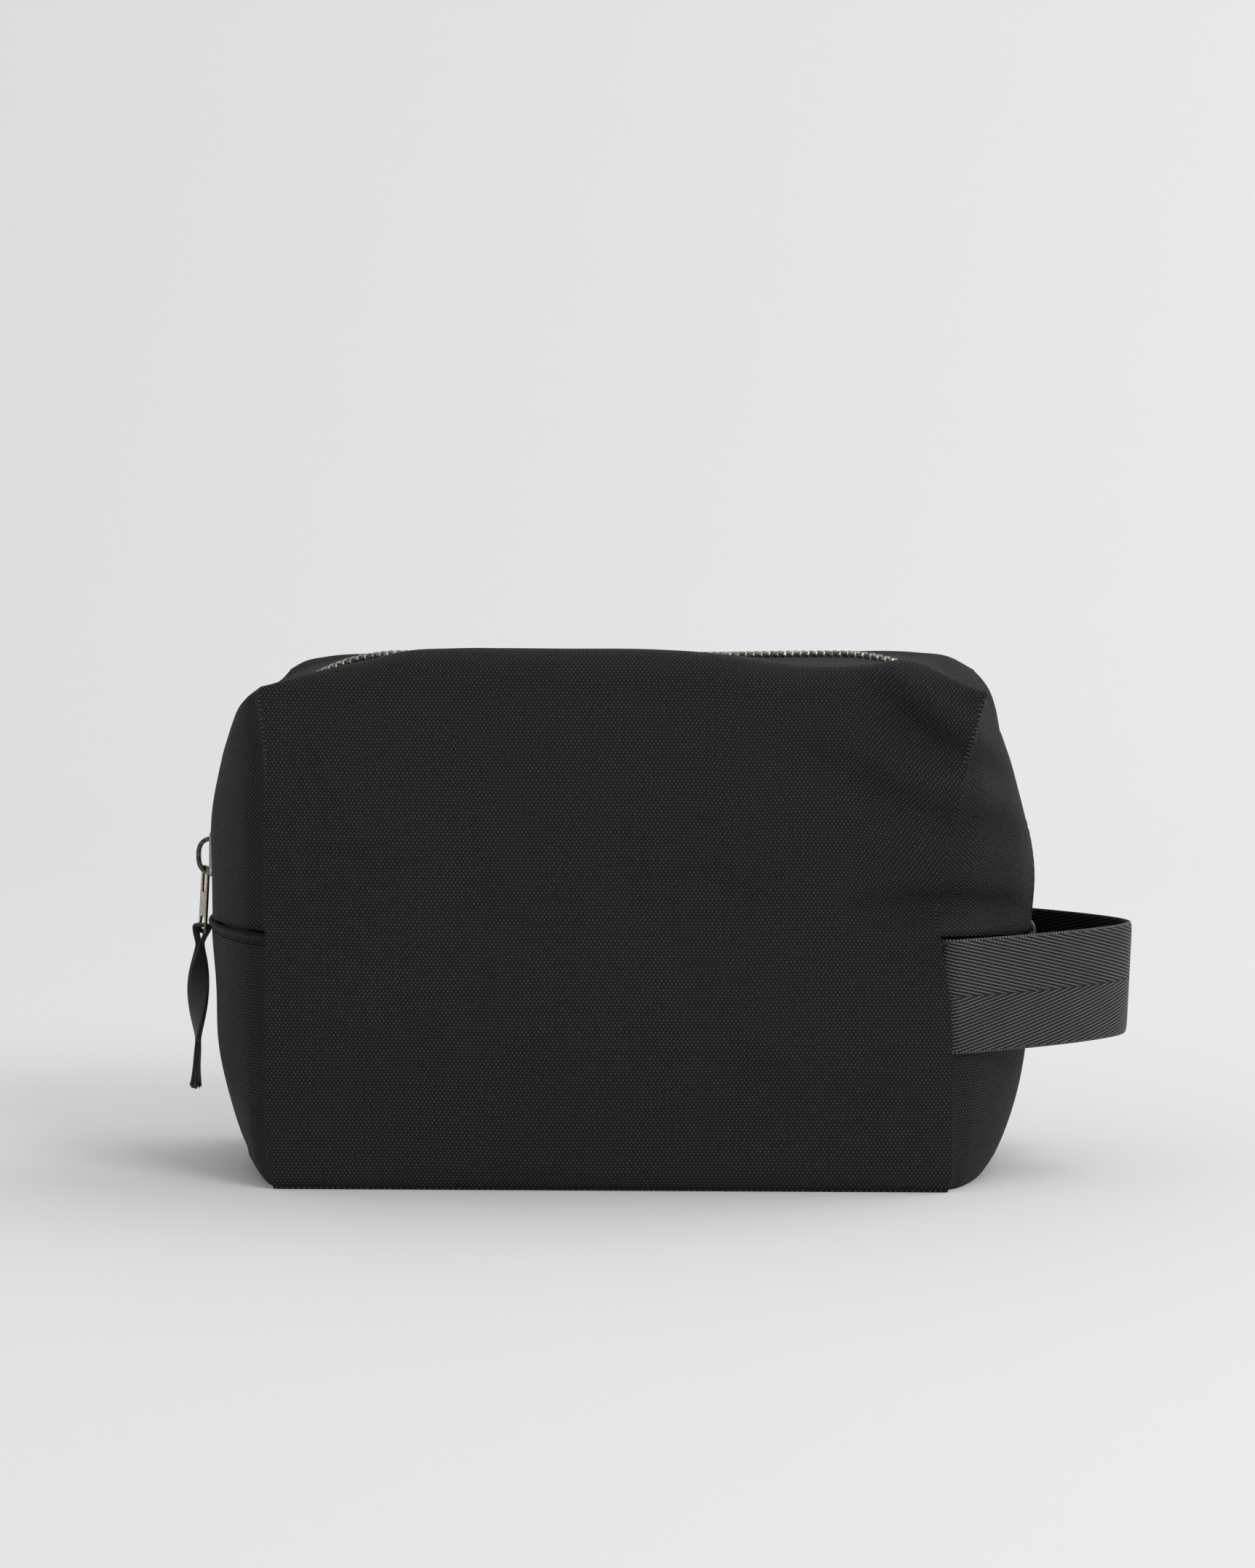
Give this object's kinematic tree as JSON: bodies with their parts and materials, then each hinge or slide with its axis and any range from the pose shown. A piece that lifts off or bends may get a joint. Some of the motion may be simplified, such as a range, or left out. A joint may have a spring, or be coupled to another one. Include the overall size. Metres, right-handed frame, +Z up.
{
  "type": "shaving kit bag",
  "caption": "Boxy black woven wash bag with a brass zip over the top, a pull tab and tape, and a webbing loop at one end.",
  "frame": {"origin": "centre of the base, on the surface the bag stands on", "axes": "+X along the bag towards the webbing loop, +Y to the back, +Z up"},
  "size_m": [0.2902, 0.1176, 0.164],
  "materials": {
    "shell_fabric": "matt woven nylon",
    "lining_fabric": "smooth woven lining",
    "webbing": "herringbone webbing",
    "tape": "woven tape",
    "zip_brass": "antique",
    "gunmetal": "tumbled gunmetal plate",
    "board": "matt sheet"
  },
  "bodies": {
    "bag_base": {"bottom_panel": "shell_fabric", "left_end_lower": "shell_fabric", "right_end_lower": "shell_fabric", "left_zip_corner": "shell_fabric", "right_zip_corner": "shell_fabric", "front_wall_lower": "shell_fabric", "back_wall_lower": "shell_fabric", "base_board": "board", "lining_lower": "lining_fabric", "front_top_stop": "zip_brass", "back_top_stop": "zip_brass", "bottom_stop": "zip_brass", "handle_front_tail": "webbing", "handle_back_tail": "webbing"},
    "front_half": {"front_fold": "shell_fabric", "front_wall_upper": "shell_fabric", "front_top_panel": "shell_fabric", "front_left_gusset": "shell_fabric", "front_right_gusset": "shell_fabric", "front_lining_upper": "lining_fabric", "front_zip_tape": "tape", "front_zip_teeth": "zip_brass"},
    "back_half": {"back_fold": "shell_fabric", "back_wall_upper": "shell_fabric", "back_top_panel": "shell_fabric", "back_left_gusset": "shell_fabric", "back_right_gusset": "shell_fabric", "back_lining_upper": "lining_fabric", "back_zip_tape": "tape", "back_zip_teeth": "zip_brass"},
    "slider": {"slider_body": "gunmetal", "slider_crown": "gunmetal"},
    "pull_tab": {"pull_tab": "gunmetal"},
    "pull_tape": {"pull_tape": "tape"},
    "handle": {"handle_loop": "webbing"}
  },
  "joints": [
    {"name": "front_half_open", "type": "hinge", "parent": "bag_base", "child": "front_half", "pos_m": [0, 0, 0.077], "axis": [1, 0, 0], "range_deg": [0, 25], "deforming": ["front_fold", "front_zip_tape", "front_zip_teeth"]},
    {"name": "back_half_open", "type": "hinge", "parent": "bag_base", "child": "back_half", "pos_m": [0, 0, 0.077], "axis": [-1, 0, 0], "range_deg": [0, 25], "deforming": ["back_fold", "back_zip_tape", "back_zip_teeth"]},
    {"name": "slider_travel", "type": "hinge", "parent": "bag_base", "child": "slider", "pos_m": [-0.0675, 0, 0.101], "axis": [0, 1, 0], "range_deg": [0, 94]},
    {"name": "pull_tab_swing", "type": "hinge", "parent": "slider", "child": "pull_tab", "pos_m": [-0.1302, 0, 0.0936], "axis": [0, 1, 0], "range_deg": [0, 150]},
    {"name": "pull_tape_swing", "type": "hinge", "parent": "pull_tab", "child": "pull_tape", "pos_m": [-0.1302, 0, 0.0738], "axis": [0, 1, 0], "range_deg": [0, 120]},
    {"name": "handle_flop", "type": "hinge", "parent": "bag_base", "child": "handle", "pos_m": [0.1264, 0, 0.0594], "axis": [0, 1, 0], "range_deg": [-30, 30]}
  ]
}
